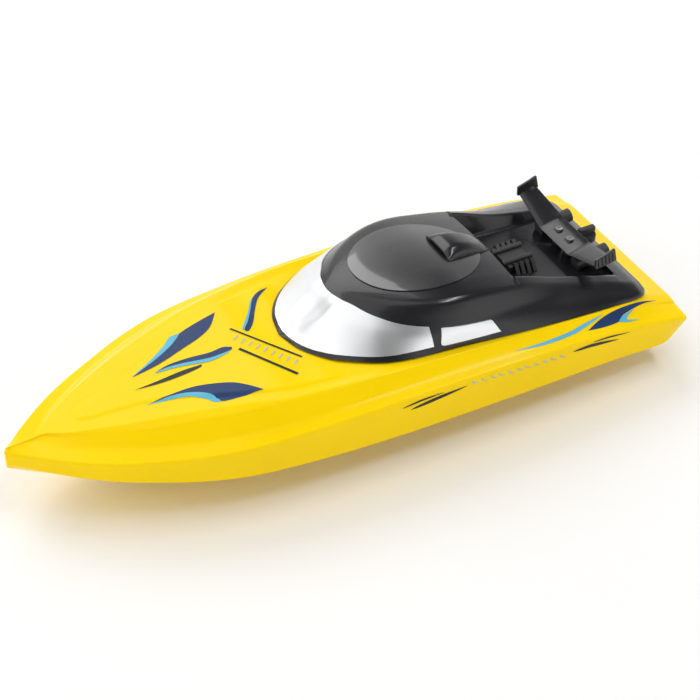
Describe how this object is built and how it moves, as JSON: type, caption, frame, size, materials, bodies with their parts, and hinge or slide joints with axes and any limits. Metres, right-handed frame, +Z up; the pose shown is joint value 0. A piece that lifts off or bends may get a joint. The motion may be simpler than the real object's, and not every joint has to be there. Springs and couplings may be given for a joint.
{
  "type": "rc boat",
  "caption": "Toy racing boat: yellow hull, black lift-off canopy with mirrored windows, roof scoop and gull wing, shaft-driven propeller and servo-steered rudder.",
  "frame": {"origin": "bottom centre of the bounding box, on the flat keel pad at half the hull's length", "axes": "+X to the bow, +Y to port, +Z up"},
  "size_m": [0.34, 0.125, 0.0756],
  "materials": {
    "hull_yellow": "gloss",
    "canopy_black": "gloss",
    "window_mirror": "mirror",
    "black_plastic": "satin",
    "seal_foam": "matte",
    "steel": "satin",
    "brass": "satin",
    "screw_metal": "gloss",
    "prop_red": "gloss",
    "copper_winding": "satin",
    "magnet": "matte",
    "servo_blue": "gloss",
    "white_plastic": "satin",
    "battery_wrap": "gloss",
    "board_green": "satin",
    "switch_red": "satin",
    "gold_contact": "gloss",
    "drain_rubber": "matte"
  },
  "bodies": {
    "hull": {"lower_hull": "hull_yellow", "upper_deck": "hull_yellow", "hatch_seal": "seal_foam", "motor_can": "steel", "motor_magnets": "magnet", "motor_end_cap": "black_plastic", "motor_mount": "black_plastic", "motor_screws": "screw_metal", "stuffing_tube": "brass", "shaft_bushes": "brass", "rudder_tube": "brass", "servo_case": "servo_blue", "servo_stand": "black_plastic", "servo_screws": "screw_metal", "battery_tray": "black_plastic", "battery_pack": "battery_wrap", "battery_strap": "seal_foam", "receiver_box": "black_plastic", "receiver_board": "board_green", "receiver_lid": "black_plastic", "switch_body": "black_plastic", "water_contacts": "gold_contact"},
    "shaft": {"motor_armature": "copper_winding", "motor_shaft": "steel", "coupling": "steel", "coupling_screws": "black_plastic", "prop_shaft": "steel", "propeller": "prop_red", "prop_nut": "screw_metal"},
    "rudder": {"rudder_blade": "black_plastic", "rudder_stock": "steel", "tiller_arm": "black_plastic"},
    "horn": {"servo_spline": "white_plastic", "servo_horn": "white_plastic", "horn_screw": "screw_metal"},
    "rod": {"steering_rod": "steel"},
    "canopy": {"canopy": "canopy_black", "roof_cap": "canopy_black", "windscreen": "window_mirror", "side_window_port": "window_mirror", "side_window_starboard": "window_mirror", "hood_scoop": "canopy_black", "engine_vent": "black_plastic", "exhaust_tips": "black_plastic", "spoiler_wing": "canopy_black", "spoiler_struts": "black_plastic", "spoiler_screws": "screw_metal", "canopy_pegs": "black_plastic"},
    "latch": {"latch_knob": "black_plastic"},
    "switch": {"switch_slider": "switch_red"},
    "drain": {"drain_plug": "drain_rubber"}
  },
  "joints": [
    {"name": "shaft_spin", "type": "hinge", "parent": "hull", "child": "shaft", "pos_m": [-0.147, 0, 0.0118], "axis": [0.9962, 0, 0.0872], "continuous": true},
    {"name": "horn_turn", "type": "hinge", "parent": "hull", "child": "horn", "pos_m": [-0.112, 0.016, 0.028], "axis": [0, 0, 1], "range_deg": [-25, 25]},
    {"name": "rod_turn", "type": "hinge", "parent": "horn", "child": "rod", "pos_m": [-0.112, 0.008, 0.028], "axis": [0, 0, 1], "range_deg": [-25, 25]},
    {"name": "rudder_turn", "type": "hinge", "parent": "hull", "child": "rudder", "pos_m": [-0.162, 0, 0.02], "axis": [0, 0, 1], "range_deg": [-25, 25]},
    {"name": "canopy_lift", "type": "slide", "parent": "hull", "child": "canopy", "axis": [0, 0, 1], "range_m": [0, 0.08]},
    {"name": "latch_turn", "type": "hinge", "parent": "canopy", "child": "latch", "pos_m": [-0.14824, 0, 0.047], "axis": [0, 0, 1], "range_deg": [0, 90]},
    {"name": "switch_slide", "type": "slide", "parent": "hull", "child": "switch", "axis": [1, 0, 0], "range_m": [0, 0.004]},
    {"name": "drain_pull", "type": "slide", "parent": "hull", "child": "drain", "axis": [-1, 0, 0], "range_m": [0, 0.012]}
  ],
  "couplings": [
    {"joint": "rod_turn", "follows": "horn_turn", "ratio": -1},
    {"joint": "rudder_turn", "follows": "horn_turn", "ratio": 1}
  ]
}
